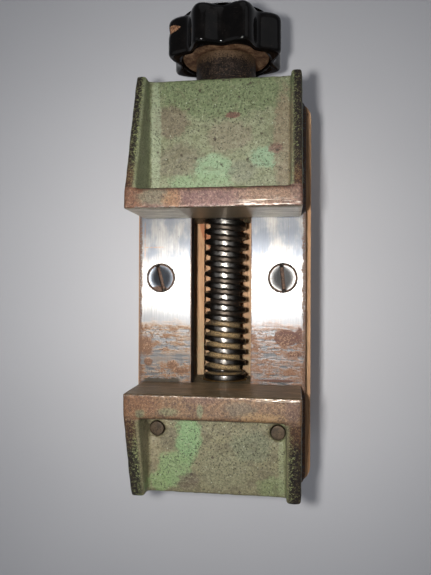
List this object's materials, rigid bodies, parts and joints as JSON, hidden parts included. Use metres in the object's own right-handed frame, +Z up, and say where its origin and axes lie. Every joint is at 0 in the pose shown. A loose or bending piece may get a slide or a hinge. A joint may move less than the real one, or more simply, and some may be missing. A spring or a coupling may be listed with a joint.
{
  "type": "bench vise",
  "caption": "Small woodworker's bench vise: a jaw slides on steel guide plates over a wooden body, drawn along by a left-hand spindle with a star knob.",
  "frame": {"origin": "middle of the wooden body's underside", "axes": "+Z up, +Y from the fixed jaw towards the knob, +X to the right when the knob points away"},
  "size_m": [0.064, 0.1712, 0.089],
  "materials": {
    "body_wood": "bare oiled beech, dusty",
    "ground_steel": "ground lengthwise, rust-speckled towards the fixed jaw",
    "screw_steel": "worn bright steel with dark slots",
    "green_paint": "chipped light green paint over cast iron, bare on rails and edges",
    "spindle_steel": "oiled dark steel, bright crests, dust in the roots",
    "bronze": "dull turned bronze",
    "dark_steel": "dark oxide with brown grime",
    "rusty_steel": "tan-brown surface rust",
    "bakelite": "glossy black moulding with small chips"
  },
  "bodies": {
    "bed": {"wooden_body": "body_wood", "guide_plate_left": "ground_steel", "guide_plate_right": "ground_steel", "plate_screw_front_left": "screw_steel", "plate_screw_front_right": "screw_steel", "plate_screw_middle_left": "screw_steel", "plate_screw_middle_right": "screw_steel", "plate_screw_rear_left": "screw_steel", "plate_screw_rear_right": "screw_steel", "fixed_jaw": "green_paint", "fixed_jaw_screw_left": "dark_steel", "fixed_jaw_screw_right": "dark_steel", "bearing_bush": "bronze"},
    "spindle": {"spindle": "spindle_steel", "thrust_washer": "screw_steel", "retaining_nut": "dark_steel", "split_pin": "screw_steel", "hub_sleeve": "dark_steel", "hub_pin": "dark_steel", "star_knob": "bakelite", "knob_bush": "rusty_steel", "knob_nut": "dark_steel"},
    "moving_jaw": {"moving_jaw": "green_paint", "spindle_nut": "bronze", "nut_screw_left": "dark_steel", "nut_screw_right": "dark_steel"}
  },
  "joints": [
    {"name": "spindle_turn", "type": "hinge", "parent": "bed", "child": "spindle", "pos_m": [0, 0, 0.05], "axis": [0, -1, 0], "range_deg": [0, 5266]},
    {"name": "jaw_slide", "type": "slide", "parent": "bed", "child": "moving_jaw", "axis": [0, -1, 0], "range_m": [0, 0.0585]}
  ],
  "couplings": [
    {"joint": "spindle_turn", "follows": "jaw_slide", "rad_per_m": 1570.8}
  ]
}
